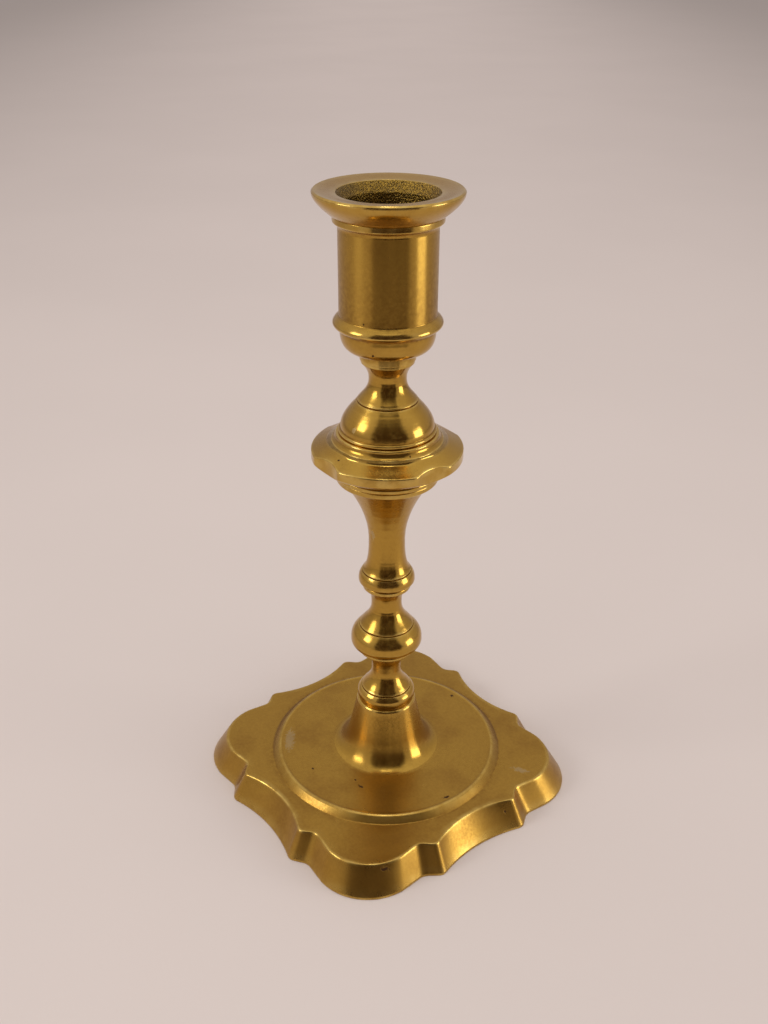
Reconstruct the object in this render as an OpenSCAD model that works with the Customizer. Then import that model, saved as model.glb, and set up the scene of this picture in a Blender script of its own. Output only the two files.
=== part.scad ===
// Turned brass candle holder, bolted together on one long rod.
// Stood on its lobed base: +Z is up the stem, the origin is under the stem at table height.

/* [Overall size] */
// Height of the whole holder; the hollow curves of the stem take up a change between them
holder_h = 178; // [172:0.5:200]
// Height of the candle cup; its plain wall takes up a change
cup_h = 42.7; // [40:0.1:50]
// Half width across the lobes of the base at their top edge
lobe_half = 39.9; // [38:0.1:50]

/* [Lobed base] */
// Height of the border round the base
border_h = 8.3; // [6:0.1:12]
// Radius of a lobe's corner at the top edge
lobe_corner_r = 14.4; // [10:0.1:18]
// How much nearer the middle plane a notch is than the lobes, at the top edge
notch_in = 0.9; // [0:0.1:3]
// Distance of the notch from the middle of its side at the top edge
notch_along = 18.35; // [16:0.05:21]
// How much further from the middle plane an ear is than the lobes, at the top edge
ear_out = 2.6; // [1.5:0.1:5]
// Distance of the ear from the middle of its side at the top edge
ear_along = 14.6; // [12:0.1:15.5]
// How much nearer the middle plane a hollow side's middle is than the lobes, at the top edge
side_in = 0.95; // [0:0.05:3]
// How far the rounding of an ear or a notch reaches
ear_round = 1.5; // [0.5:0.1:2]
// How much further out the lobes stand at the foot than at the top edge
lobe_spread = 3.75; // [1:0.05:6]
// How much larger a lobe's corner radius is at the foot
corner_spread = 1.8; // [0:0.1:3]
// How much further out the notches stand at the foot
notch_spread = 4; // [1:0.1:6]
// How much further from its side's middle a notch stands at the foot
notch_slide = 1.4; // [0:0.1:2]
// How much further out the ears stand at the foot
ear_spread = 3.8; // [1:0.1:6]
// How much further from its side's middle an ear stands at the foot
ear_slide = 0.6; // [0:0.1:1]
// How much further out the hollow sides stand at the foot
side_spread = 4.7; // [1:0.1:6]
// Height of the upright land round the foot
foot_land = 0.6; // [0.3:0.1:1.5]
// Size of the worn bevel round the top edge
edge_bevel = 0.3; // [0.1:0.05:0.6]
// Wall of the casting at the rim
rim_wall = 3; // [2:0.1:4]
// Wall of the casting under the border and the disc
plate_wall = 2.9; // [2:0.1:4]

/* [Raised disc and cone] */
// Radius of the raised disc at its crest
disc_r = 33; // [28:0.5:35]
// How much further out the foot of the disc's bevel is
disc_bevel = 1.95; // [1:0.05:3]
// Height of the disc's crest above the border
disc_h = 1.75; // [1:0.05:3]
// How deep the disc is dished below its crest
disc_dish = 0.35; // [0.1:0.05:0.6]
// Width of the rounded crest
crest_w = 1.2; // [0.6:0.1:2]
// Radius of the cone's top edge
cone_r = 8.75; // [8.4:0.05:10]
// Height of the bevel round the cone's top
cone_bevel = 0.45; // [0.2:0.05:0.8]
// Height of the straight part of the cone
cone_h = 9; // [6:0.1:11]
// How much the straight part of the cone widens
cone_spread = 1.95; // [1:0.05:3]
// Height of the hollow sweep from the cone into the disc
sweep_h = 8.2; // [6:0.1:10]
// Width of the hollow sweep
sweep_w = 6.2; // [4:0.1:9]
// Radius of the well under the cone that holds the nut
well_r = 6.2; // [5.9:0.1:6.4]
// Thickness of metal between the cone's top and the well
seat_t = 6; // [4:0.1:8]

/* [Baluster stem] */
// Radius of the stem's foot
foot_r = 8.3; // [7.8:0.1:8.5]
// Height of the plain band at the stem's foot
foot_band_h = 0.9; // [0.4:0.1:2]
// Radius of the foot knop
foot_knop_r = 8.55; // [8:0.05:10]
// Height of the foot knop
foot_knop_h = 3.35; // [2:0.05:5]
// Radius of the top of the foot knop
foot_knop_top_r = 7.45; // [7:0.05:8]
// Height of the flare above the foot knop
foot_flare_h = 5.7; // [4:0.05:8]
// Radius of the neck below the ball knop
low_neck_r = 4.31; // [4:0.01:5]
// Height of the neck below the ball knop
low_neck_h = 1.6; // [0.5:0.1:4]
// Height of the hollow under the ball knop
ball_under_h = 5.35; // [3:0.05:8]
// Radius of the ring under the ball knop
ball_ring_r = 8.15; // [7:0.05:9]
// Height of the ring under the ball knop
ball_ring_h = 1.3; // [0.8:0.1:3]
// Radius of the ball knop
ball_r = 10.36; // [9.5:0.01:12]
// Height of the ball knop
ball_h = 7.15; // [5:0.05:9]
// Radius of the ball knop's lower end
ball_low_r = 8.6; // [8.6:0.1:9.4]
// Radius of the ball knop's upper end
ball_top_r = 8; // [7.8:0.05:9]
// Height of the flare above the ball knop
ball_flare_h = 6.4; // [4:0.05:9]
// Radius of the neck below the ring knop
mid_neck_r = 4.37; // [4:0.01:5]
// Height of the neck below the ring knop
mid_neck_h = 1.1; // [0.5:0.1:4]
// Height of the hollow under the ring knop
ring_under_h = 4.55; // [3:0.05:7]
// Radius of the small ring under the ring knop
small_ring_r = 6.85; // [6:0.05:7]
// Height of the small ring under the ring knop
small_ring_h = 1.5; // [0.8:0.1:3]
// Radius of the ring knop
ring_knop_r = 8; // [7.8:0.1:10]
// Height of the ring knop
ring_knop_h = 3.75; // [2:0.05:5]
// Radius of the ring knop's two ends
ring_knop_end_r = 7.1; // [7:0.05:7.7]
// Height of the trumpet's lower flare
trumpet_low_h = 8.55; // [5:0.05:12]
// Radius of the trumpet's waist
waist_r = 5.09; // [4.5:0.01:6]
// Height of the trumpet's waist
waist_h = 1.25; // [0.5:0.05:4]
// Height of the trumpet's upper flare
trumpet_h = 18.7; // [12:0.1:30]
// Radius of the trumpet's mouth
trumpet_r = 12.4; // [10:0.1:13.2]

/* [Scalloped collar] */
// Height of the lower plain ring
collar_ring_h = 1.75; // [1:0.05:3]
// Radius of the lower plain ring
collar_ring_r = 13.9; // [13.5:0.1:14.5]
// Height of the upper ring
collar_step_h = 1.4; // [0.8:0.1:2.5]
// Radius of the upper ring
collar_step_r = 14.9; // [14.6:0.1:15.5]
// Height of the bowl under the scalloped edge
collar_bowl_h = 4.65; // [3:0.05:6]
// Radius at the middle of a lobe of the scalloped edge
collar_r = 20.35; // [19:0.05:22]
// Thickness of the scalloped edge
collar_edge_t = 0.85; // [0.5:0.05:1.5]
// Radius of the curve of each lobe
collar_lobe_curve = 22; // [21:0.5:35]
// Angle from a lobe's middle to its corner
collar_lobe_angle = 30; // [24:1:32]
// How far the collar is turned from the corners of the base
collar_turn = -1; // [-5:1:5]
// Depth of each scallop below the line between its corners
scallop_depth = 1; // [0.6:0.05:2]
// Height of the sloping top of the collar
collar_slope_h = 2.65; // [1.5:0.05:4]
// Radius of the neck above the collar's slope
collar_neck_r = 13.8; // [13.5:0.1:14.5]
// Height of that neck
collar_neck_h = 2.1; // [1.8:0.1:3]
// How far out the hollow at the neck's foot reaches
collar_hollow_w = 1; // [0.5:0.1:1.5]
// How far up the hollow at the neck's foot reaches
collar_hollow_h = 1.4; // [0.7:0.1:1.4]

/* [Upper knop] */
// Radius of the band under the dome
dome_band_r = 13.05; // [12.7:0.05:13.4]
// Height of the band under the dome
dome_band_h = 1.1; // [0.4:0.1:1.5]
// Radius of the dome
dome_r = 12.5; // [11:0.1:12.6]
// Height of the dome
dome_h = 7.55; // [6:0.05:11]
// Radius of the dome's top
dome_top_r = 8.15; // [7.9:0.05:9]
// Height of the flare above the dome
dome_flare_h = 5.25; // [4:0.05:8]
// Radius of the neck below the candle cup
high_neck_r = 4.97; // [4.6:0.01:5.6]
// Height of the neck below the candle cup
high_neck_h = 0.4; // [0.2:0.1:3]
// Height of the flare below the candle cup
cup_flare_h = 4.3; // [3:0.05:6]
// Radius of the table that carries the candle cup
cup_table_r = 7; // [6.8:0.05:7.6]
// Height of the upright edge of that table
cup_table_h = 0.8; // [0.3:0.05:1]

/* [Candle cup] */
// Radius of the candle bore
candle_r = 11; // [9.5:0.1:11.5]
// Depth of the candle bore below the rim
candle_depth = 28; // [20:0.5:30]
// Radius of the cup's plain foot under the bowl
cup_foot_r = 7.3; // [7.2:0.05:8]
// Height of that foot
cup_foot_h = 2.2; // [1:0.05:3]
// Height of the cup's bowl
bowl_h = 5.95; // [5:0.05:8]
// Radius of the cup's bowl at its top
bowl_r = 12.3; // [12:0.1:13]
// Height of the bead
bead_h = 3.75; // [2.5:0.05:5]
// Radius of the bead
bead_r = 14.05; // [13.5:0.05:15]
// Radius of the cup's plain wall
wall_r = 12.45; // [12.3:0.05:12.8]
// Height of the hollow between the wall and the neck ring
cove_h = 1.3; // [0.8:0.1:2.5]
// Radius of the neck ring
neck_ring_r = 13.75; // [13.2:0.05:14.2]
// Height of the neck ring
neck_ring_h = 1.9; // [1:0.1:3]
// Radius of the lip's foot above the neck ring
lip_foot_r = 14.2; // [13.9:0.1:15]
// Height of the lip's rounded underside
lip_h = 5.35; // [4:0.05:7]
// Radius of the rim
rim_r = 18.6; // [17:0.1:21]
// Radius of the rounding of the rim's edge
rim_edge = 0.45; // [0.2:0.05:0.8]
// Radius of the mouth's edge
mouth_r = 12.8; // [12:0.1:14]
// How far the rim's face falls towards the mouth
rim_dish = 0.7; // [0.2:0.1:1.2]
// Depth of the taper inside the mouth
mouth_taper_h = 2.6; // [1.5:0.1:4]

/* [Rod, nut and washers] */
// Diameter of the rod and of its thread
rod_d = 5; // [4:0.1:5.2]
// How far the rod screws into the candle cup
rod_grip = 10; // [7:0.5:10.5]
// How far the rod stands out below the nut
rod_end = 2; // [1:0.1:4]
// Depth of the bevel at each end of the rod
rod_bevel = 0.6; // [0.2:0.1:1]
// Width of the nut across its flats
nut_af = 8; // [7.5:0.1:8.4]
// Height of the nut
nut_h = 4; // [3:0.1:5]
// Outer diameter of the flat washer
washer_d = 10; // [9.4:0.1:11]
// Thickness of the flat washer
washer_t = 1; // [0.6:0.1:1.4]
// Outer diameter of the spring washer
spring_washer_d = 9.2; // [8.6:0.1:9.4]
// Thickness of the spring washer
spring_washer_t = 1.2; // [0.8:0.1:1.6]
// Width of the slit in the spring washer
slit_w = 0.8; // [0.4:0.1:1.2]

/* [Joints between the pieces] */
// Radius of the spigot on top of the base
base_spigot_r = 5; // [4.6:0.1:5.4]
// Radius of the spigot on top of the stem
stem_spigot_r = 6; // [5:0.1:7]
// Radius of the spigot on top of the collar
collar_spigot_r = 6; // [5:0.1:7]
// Radius of the spigot on top of the upper knop
cup_spigot_r = 4.4; // [4:0.1:4.8]
// Height of each spigot
spigot_h = 2.6; // [1.5:0.1:3]
// Gap all round a spigot in its socket
spigot_gap = 0.1; // [0.05:0.05:0.2]
// Gap between a spigot's end and the bottom of its socket
spigot_end_gap = 0.3; // [0.1:0.05:0.5]
// Gap all round the rod in the pieces that it passes through
rod_gap = 0.2; // [0.1:0.05:0.3]
// Gap all round the rod in its two threads
thread_gap = 0.05; // [0.02:0.01:0.1]

/* [Small turned details] */
// Height of the fine fillet above each knop
fillet_h = 0.7; // [0.3:0.05:1]
// How far each fine fillet steps in
fillet_step = 0.2; // [0.1:0.05:0.3]
// Height of each turned groove
groove_h = 0.3; // [0.15:0.05:0.5]
// Depth of each turned groove
groove_d = 0.35; // [0.15:0.05:0.5]
// Rounding of the small rings' edges
ring_round = 0.3; // [0.1:0.05:0.4]

/* [Hidden] */
turned_fn = 96;
curve_steps = 9;
corner_steps = 8;
side_steps = 10;
round_steps = 3;
cut = 1;
same_point = 0.0001;

// Where the two inner handles of each kind of curve lie, as shares of its width and height
swell_shares = [1 / 3, 1 / 2, 2 / 3];
knop_shares = [0.55, 0.43, 0.73];
flare_shares = [0.17, 0.15, 0.47];
trumpet_low_shares = [0.5, 0.11, 0.37];
trumpet_top_shares = [0.38, 0.18, 0.6];
under_shares = [0.55, 0.06, 0.4];
sweep_shares = [0.12, 0.5, 0.42];
hollow_shares = [0.55, 0.18, 0.58];
bowl_shares = [0.65, 0.22, 0.94];
// How far up its height each knop is widest
foot_belly_share = 0.27;
ball_belly_share = 0.31;
ring_belly_share = 0.25;
bead_belly_share = 0.46;
dome_belly_share = 0.05;

// Heights within the base
disc_z = border_h + disc_h;
cone_top_z = disc_z - disc_dish + sweep_h + cone_h + cone_bevel;

// Heights within the candle cup, above its own foot
bead_z = cup_foot_h + bowl_h;
wall_z = bead_z + bead_h;
rim_z = cup_h - rim_edge;
lip_z = rim_z - lip_h;
neck_ring_z = lip_z - neck_ring_h;
cove_z = neck_ring_z - cove_h;
candle_floor_z = cup_h - candle_depth;

// Heights within the upper knop, above its own foot
dome_top_z = dome_band_h + dome_h;
dome_flare_z = dome_top_z + fillet_h;
high_neck_z = dome_flare_z + dome_flare_h;
cup_flare_z = high_neck_z + high_neck_h;
cup_table_z = cup_flare_z + cup_flare_h;
upper_knop_h = cup_table_z + cup_table_h;

// Heights within the collar, above its own foot
collar_step_z = collar_ring_h + groove_h;
collar_bowl_z = collar_step_z + collar_step_h + groove_h;
collar_edge_z = collar_bowl_z + collar_bowl_h;
collar_slope_z = collar_edge_z + collar_edge_t;
collar_neck_z = collar_slope_z + collar_slope_h;
collar_h = collar_neck_z + collar_neck_h;

// Heights of the pieces' seats above the table
stem_z = cone_top_z;
cup_z = holder_h - cup_h;
knop_seat_z = cup_z - upper_knop_h;
collar_z = knop_seat_z - collar_h;
stem_h = collar_z - stem_z;

// The stem's knops and rings keep their heights, and its hollow curves share what they leave
stem_knops_h = foot_band_h + foot_knop_h + ball_ring_h + ball_h + small_ring_h + ring_knop_h
    + 3 * fillet_h + 2 * groove_h;
stem_curves_h = foot_flare_h + low_neck_h + ball_under_h + ball_flare_h + mid_neck_h
    + ring_under_h + trumpet_low_h + waist_h + trumpet_h;
stem_curve_share = (stem_h - stem_knops_h) / stem_curves_h;

// Heights within the stem, above its own foot
knop_z = foot_band_h;
foot_flare_z = knop_z + foot_knop_h + fillet_h;
low_neck_z = foot_flare_z + foot_flare_h * stem_curve_share;
ball_under_z = low_neck_z + low_neck_h * stem_curve_share;
ball_ring_z = ball_under_z + ball_under_h * stem_curve_share;
ball_z = ball_ring_z + ball_ring_h + groove_h;
ball_flare_z = ball_z + ball_h + fillet_h;
mid_neck_z = ball_flare_z + ball_flare_h * stem_curve_share;
ring_under_z = mid_neck_z + mid_neck_h * stem_curve_share;
small_ring_z = ring_under_z + ring_under_h * stem_curve_share;
ring_knop_z = small_ring_z + small_ring_h + groove_h;
trumpet_low_z = ring_knop_z + ring_knop_h + fillet_h;
waist_z = trumpet_low_z + trumpet_low_h * stem_curve_share;
trumpet_z = waist_z + waist_h * stem_curve_share;

// The rod and what is screwed on its lower end
rod_r = rod_d / 2;
rod_bore_r = rod_r + rod_gap;
thread_bore_r = rod_r + thread_gap;
seat_z = cone_top_z - seat_t;
washer_z = seat_z - washer_t;
spring_washer_z = washer_z - spring_washer_t;
nut_z = spring_washer_z - nut_h;
rod_z = nut_z - rod_end;
rod_top_z = cup_z + rod_grip;
disc_ceiling_z = disc_z - disc_dish - plate_wall;
border_ceiling_z = border_h - plate_wall;
well_flare_r = cone_r + cone_spread;

// Mixes two values or points by a share
function mix(a, b, share) = a + (b - a) * share;

// Points of a cubic curve after its first point
function curve(a, b, c, d) = [for (i = [1 : curve_steps]) let (t = i / curve_steps, s = 1 - t)
    s * s * s * a + 3 * s * s * t * b + 3 * s * t * t * c + t * t * t * d];

// The same points from the last to the first
function backwards(points) = [for (i = [len(points) - 1 : -1 : 0]) points[i]];

// From the widest line of a knop to its end
function fall(belly, end, shares = swell_shares) = curve(belly,
    [belly.x, mix(belly.y, end.y, shares[0])],
    [mix(belly.x, end.x, shares[1]), mix(belly.y, end.y, shares[2])], end);

// From the end of a knop to its widest line
function rise(end, belly, shares = swell_shares) = backwards(concat([belly], fall(belly, end, shares)));

// A whole knop between two ends
function knop(low, high, r, share, shares) = let (belly = [r, mix(low.y, high.y, share)])
    concat(rise(low, belly, shares), fall(belly, high, shares));

// From a wide foot up to a narrow neck
function flare(foot, neck, shares) = concat([foot], curve(foot,
    [mix(foot.x, neck.x, shares[0]), mix(foot.y, neck.y, shares[1])],
    [neck.x, mix(foot.y, neck.y, shares[2])], neck));

// From a narrow neck up to a wide top
function flare_up(neck, top, shares) = backwards(flare(top, neck, shares));

// How far a ring's edges are rounded off, which a thin ring limits
function ring_edge(low, high) = min(ring_round, (high - low) / 3);

// A plain ring with its two edges rounded off
function ring(r, low, high) = let (edge = ring_edge(low, high))
    [[r - edge, low], [r, low + edge], [r, high - edge], [r - edge, high]];

// The fine fillet on top of a knop of radius r, with the point where the flare above it starts
function fillet(r, high) = ring(r - fillet_step, high - fillet_h, high);
function on_fillet(r, high) = [r - fillet_step - ring_edge(0, fillet_h), high];

// A turned solid from the outside of its profile, filled in to the axis.
// Where one curve ends and the next begins at the same point, that point is taken once.
module turned(outside) {
    last = len(outside) - 1;
    once = [for (i = [0 : last]) if (i == 0 || norm(outside[i] - outside[i - 1]) > same_point) outside[i]];
    rotate_extrude($fn = turned_fn)
        polygon(concat([[0, outside[0].y]], once, [[0, outside[last].y]]));
}

// A round hole from one height to another
module hole(r, low, high) {
    translate([0, 0, low])
        cylinder(r = r, h = high - low, $fn = turned_fn);
}

// The socket for a spigot, cut upwards into a piece's foot
module socket(r) {
    hole(r + spigot_gap, -cut, spigot_h + spigot_end_gap);
}

// A spigot standing on a piece's top
module spigot(r, top) {
    translate([0, 0, top - cut])
        cylinder(r = r, h = spigot_h + cut, $fn = turned_fn);
}

// A point of the base's outline is [distance from the middle plane, distance from its side's middle].
// Each one moves with the share of the way down the side, and inwards by an inset.

// The ear where a hollow side meets the notch
function ear_at(down_share, inset) =
    [lobe_half + ear_out + ear_spread * down_share - inset, ear_along + ear_slide * down_share];

// The notch between the ear and the lobe
function notch_at(down_share, inset) =
    [lobe_half - notch_in + notch_spread * down_share - inset, notch_along + notch_slide * down_share];

// The hollow side, an arc from its middle to where the rounding of the ear starts
function side_line(down_share, inset) = let (
    across = lobe_half - side_in + side_spread * down_share - inset,
    ear = ear_at(down_share, inset),
    sag = ear.x - across,
    arc_r = (ear.y * ear.y + sag * sag) / (2 * sag))
    [for (i = [0 : side_steps]) let (y = (ear.y - ear_round) * i / side_steps)
        [across + arc_r - sqrt(arc_r * arc_r - y * y), y]];

// A corner softened by a short curve between the two lines that meet there
function softened(a, corner, b) = [for (i = [0 : round_steps]) let (t = i / round_steps, s = 1 - t)
    s * s * a + 2 * s * t * corner + t * t * b];

// The point at a distance from one point towards another
function towards(from, to, distance) = from + (to - from) * distance / norm(to - from);

// One eighth of the outline: half of a side, its ear and notch, and half of a lobe's corner
function half_side(down_share, inset) = let (
    side = side_line(down_share, inset),
    ear = ear_at(down_share, inset),
    notch = notch_at(down_share, inset),
    half = lobe_half + lobe_spread * down_share - inset,
    corner_r = lobe_corner_r + corner_spread * down_share - inset,
    lobe = [half, half - corner_r])
    concat(side,
        softened(towards(ear, side[side_steps], ear_round), ear, towards(ear, notch, ear_round)),
        softened(towards(notch, ear, ear_round), notch, towards(notch, lobe, ear_round)),
        [for (i = [0 : corner_steps]) let (angle = 45 * i / corner_steps)
            [half - corner_r + corner_r * cos(angle), half - corner_r + corner_r * sin(angle)]]);

// A whole quarter of the outline, centred on the corner between two sides
function quarter(down_share, inset) = let (half = half_side(down_share, inset), n = len(half))
    concat(half, [for (i = [n - 2 : -1 : 1]) [half[i].y, half[i].x]]);

// The whole outline at one height
function outline(down_share, inset, z) = [for (turn = [0 : 3]) for (p = quarter(down_share, inset))
    [p.x * cos(90 * turn) - p.y * sin(90 * turn), p.x * sin(90 * turn) + p.y * cos(90 * turn), z]];

// How far down the sloping side a height is
function down_share_at(z) = (border_h - z) / (border_h - foot_land);

// The lobed plate and its rim, hollow underneath
module lobed_plate() {
    rings = [
        outline(0, edge_bevel, border_h),
        outline(0, 0, border_h - edge_bevel),
        outline(1, 0, foot_land),
        outline(1, 0, 0),
        outline(1, rim_wall, 0),
        outline(down_share_at(border_ceiling_z), rim_wall, border_ceiling_z)];
    n = len(rings[0]);
    last = len(rings) - 1;
    points = concat([for (r = rings) each r], [[0, 0, border_h], [0, 0, border_ceiling_z]]);
    top = len(points) - 2;
    ceiling = len(points) - 1;
    walls = [for (k = [0 : last - 1]) for (i = [0 : n - 1]) let (j = (i + 1) % n)
        each [[k * n + i, k * n + j, (k + 1) * n + j], [k * n + i, (k + 1) * n + j, (k + 1) * n + i]]];
    caps = [for (i = [0 : n - 1]) let (j = (i + 1) % n)
        each [[top, j, i], [ceiling, last * n + i, last * n + j]]];
    polyhedron(points = points, faces = concat(walls, caps));
}

// The disc, its crest and the cone, with the spigot for the stem
module disc_and_cone() {
    dish_z = disc_z - disc_dish;
    sweep_top = [cone_r + cone_spread, dish_z + sweep_h];
    sweep_foot = [sweep_top.x + sweep_w, dish_z];
    turned(concat(
        [[disc_r + disc_bevel, border_h - edge_bevel], [disc_r + disc_bevel, border_h],
            [disc_r + ring_round, disc_z - ring_round], [disc_r - ring_round, disc_z],
            [disc_r - crest_w, disc_z - disc_dish / 2]],
        backwards(curve(sweep_top,
            [mix(sweep_top.x, sweep_foot.x, sweep_shares[0]),
                mix(sweep_top.y, sweep_foot.y, sweep_shares[1])],
            [mix(sweep_top.x, sweep_foot.x, sweep_shares[2]), sweep_foot.y], sweep_foot)),
        [sweep_top, [cone_r, cone_top_z - cone_bevel], [cone_r - cone_bevel, cone_top_z]]));
    spigot(base_spigot_r, cone_top_z);
}

// The hollow under the disc and the well that holds the nut
module base_hollow() {
    well_foot_z = disc_ceiling_z + well_flare_r - well_r;
    turned([[disc_r - plate_wall, border_ceiling_z - cut], [disc_r - plate_wall, border_ceiling_z],
        [disc_r - plate_wall - disc_h, disc_ceiling_z], [well_flare_r, disc_ceiling_z],
        [well_r, well_foot_z], [well_r, seat_z]]);
}

module base() {
    color("darkgoldenrod")
    difference() {
        union() {
            lobed_plate();
            disc_and_cone();
        }
        base_hollow();
        hole(rod_bore_r, seat_z - cut, cone_top_z + spigot_h + cut);
    }
}

module baluster_stem() {
    color("goldenrod")
    translate([0, 0, stem_z])
    difference() {
        union() {
            turned(concat(
                [[foot_r - ring_round, 0], [foot_r, ring_round]],
                knop([foot_r, knop_z], [foot_knop_top_r, foot_flare_z - fillet_h], foot_knop_r,
                    foot_belly_share, knop_shares),
                fillet(foot_knop_top_r, foot_flare_z),
                flare(on_fillet(foot_knop_top_r, foot_flare_z), [low_neck_r, low_neck_z], flare_shares),
                flare_up([low_neck_r, ball_under_z], [ball_ring_r - ring_round, ball_ring_z],
                    under_shares),
                ring(ball_ring_r, ball_ring_z, ball_ring_z + ball_ring_h),
                knop([ball_low_r, ball_z], [ball_top_r, ball_flare_z - fillet_h], ball_r,
                    ball_belly_share, knop_shares),
                fillet(ball_top_r, ball_flare_z),
                flare(on_fillet(ball_top_r, ball_flare_z), [mid_neck_r, mid_neck_z], flare_shares),
                flare_up([mid_neck_r, ring_under_z], [small_ring_r - ring_round, small_ring_z],
                    under_shares),
                ring(small_ring_r, small_ring_z, small_ring_z + small_ring_h),
                knop([ring_knop_end_r, ring_knop_z], [ring_knop_end_r, trumpet_low_z - fillet_h],
                    ring_knop_r, ring_belly_share, knop_shares),
                fillet(ring_knop_end_r, trumpet_low_z),
                flare(on_fillet(ring_knop_end_r, trumpet_low_z), [waist_r, waist_z], trumpet_low_shares),
                flare_up([waist_r, trumpet_z], [trumpet_r, stem_h], trumpet_top_shares)));
            spigot(stem_spigot_r, stem_h);
        }
        socket(base_spigot_r);
        hole(rod_bore_r, -cut, stem_h + spigot_h + cut);
    }
}

// The scalloped outline of the collar: four flat lobes with a hollow scallop between each two
module scalloped_prism(low, high) {
    lobe_centre = collar_r - collar_lobe_curve;
    lean = asin(-lobe_centre * sin(collar_lobe_angle) / collar_lobe_curve);
    half_turn = collar_lobe_angle - lean;
    corner = [lobe_centre + collar_lobe_curve * cos(half_turn), collar_lobe_curve * sin(half_turn)];
    corner_r = norm(corner);
    gap_angle = 45 - collar_lobe_angle;
    half_gap = corner_r * sin(gap_angle);
    scallop_r = (half_gap * half_gap + scallop_depth * scallop_depth) / (2 * scallop_depth);
    scallop_centre = corner_r * cos(gap_angle) - scallop_depth + scallop_r;
    translate([0, 0, low])
    linear_extrude(height = high - low)
    difference() {
        polygon([for (turn = [0 : 3]) for (i = [-side_steps : side_steps])
            let (a = half_turn * i / side_steps, x = lobe_centre + collar_lobe_curve * cos(a),
                y = collar_lobe_curve * sin(a), lobe_angle = 45 + 90 * turn)
            [x * cos(lobe_angle) - y * sin(lobe_angle), x * sin(lobe_angle) + y * cos(lobe_angle)]]);
        for (turn = [0 : 3])
            rotate(90 * turn)
            translate([scallop_centre, 0])
                circle(r = scallop_r, $fn = turned_fn);
    }
}

module scalloped_collar() {
    // The turned blank reaches past the corners that the scallops leave
    corner_reach = collar_r + scallop_depth;
    hollow_foot = [collar_neck_r + collar_hollow_w, collar_neck_z];
    hollow_top = [collar_neck_r, collar_neck_z + collar_hollow_h];
    color("darkgoldenrod")
    translate([0, 0, collar_z])
    rotate(collar_turn)
    difference() {
        union() {
            intersection() {
                turned(concat(
                    [[collar_step_r - groove_d, collar_bowl_z - groove_h],
                        [collar_step_r - groove_d, collar_bowl_z]],
                    backwards(fall([corner_reach, collar_edge_z], [collar_step_r, collar_bowl_z])),
                    [[corner_reach, collar_slope_z], [collar_r, collar_slope_z]],
                    flare(hollow_foot, hollow_top, hollow_shares),
                    [[collar_neck_r, collar_h - ring_round], [collar_neck_r - ring_round, collar_h]]));
                scalloped_prism(0, collar_h);
            }
            turned(concat(
                ring(collar_ring_r, 0, collar_ring_h),
                [[collar_ring_r - groove_d, collar_step_z]],
                ring(collar_step_r, collar_step_z, collar_bowl_z - groove_h),
                [[collar_step_r - groove_d, collar_bowl_z]]));
            spigot(collar_spigot_r, collar_h);
        }
        socket(stem_spigot_r);
        hole(rod_bore_r, -cut, collar_h + spigot_h + cut);
    }
}

module upper_knop() {
    color("goldenrod")
    translate([0, 0, knop_seat_z])
    difference() {
        union() {
            turned(concat(
                ring(dome_band_r, 0, dome_band_h),
                knop([dome_r, dome_band_h], [dome_top_r, dome_top_z], dome_r, dome_belly_share,
                    swell_shares),
                fillet(dome_top_r, dome_flare_z),
                flare(on_fillet(dome_top_r, dome_flare_z), [high_neck_r, high_neck_z], flare_shares),
                flare_up([high_neck_r, cup_flare_z], [cup_table_r - fillet_step, cup_table_z],
                    flare_shares),
                [[cup_table_r, cup_table_z], [cup_table_r, upper_knop_h]]));
            spigot(cup_spigot_r, upper_knop_h);
        }
        socket(collar_spigot_r);
        hole(rod_bore_r, -cut, upper_knop_h + spigot_h + cut);
    }
}

module candle_cup() {
    mouth_z = cup_h - rim_dish;
    color("gold")
    translate([0, 0, cup_z])
    difference() {
        turned(concat(
            [[cup_foot_r, 0]],
            rise([cup_foot_r, cup_foot_h], [bowl_r, bead_z], bowl_shares),
            knop([bowl_r, bead_z], [wall_r, wall_z], bead_r, bead_belly_share, swell_shares),
            [[wall_r, wall_z + groove_h]],
            flare_up([wall_r, cove_z], [neck_ring_r - ring_round, neck_ring_z], trumpet_low_shares),
            ring(neck_ring_r, neck_ring_z, lip_z),
            rise([lip_foot_r, lip_z], [rim_r, rim_z]),
            [[rim_r - rim_edge, cup_h], [mouth_r, mouth_z], [candle_r, mouth_z - mouth_taper_h],
                [candle_r, candle_floor_z]]));
        socket(cup_spigot_r);
        hole(thread_bore_r, spigot_h, rod_grip + spigot_end_gap);
    }
}

module tie_rod() {
    color("silver")
    translate([0, 0, rod_z])
        turned([[rod_r - rod_bevel, 0], [rod_r, rod_bevel], [rod_r, rod_top_z - rod_z - rod_bevel],
            [rod_r - rod_bevel, rod_top_z - rod_z]]);
}

module flat_washer() {
    color("silver")
    translate([0, 0, washer_z])
    difference() {
        cylinder(d = washer_d, h = washer_t, $fn = turned_fn);
        hole(rod_bore_r, -cut, washer_t + cut);
    }
}

module spring_washer() {
    color("gray")
    translate([0, 0, spring_washer_z])
    difference() {
        cylinder(d = spring_washer_d, h = spring_washer_t, $fn = turned_fn);
        hole(rod_bore_r, -cut, spring_washer_t + cut);
        translate([0, -slit_w / 2, -cut])
            cube([spring_washer_d, slit_w, spring_washer_t + 2 * cut]);
    }
}

module hex_nut() {
    corner_r = nut_af / 2 / cos(30);
    bevel = (corner_r - nut_af / 2) * tan(30);
    color("silver")
    translate([0, 0, nut_z])
    difference() {
        intersection() {
            cylinder(r = corner_r, h = nut_h, $fn = 6);
            turned([[nut_af / 2, 0], [corner_r, bevel], [corner_r, nut_h - bevel], [nut_af / 2, nut_h]]);
        }
        hole(thread_bore_r, -cut, nut_h + cut);
    }
}

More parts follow.
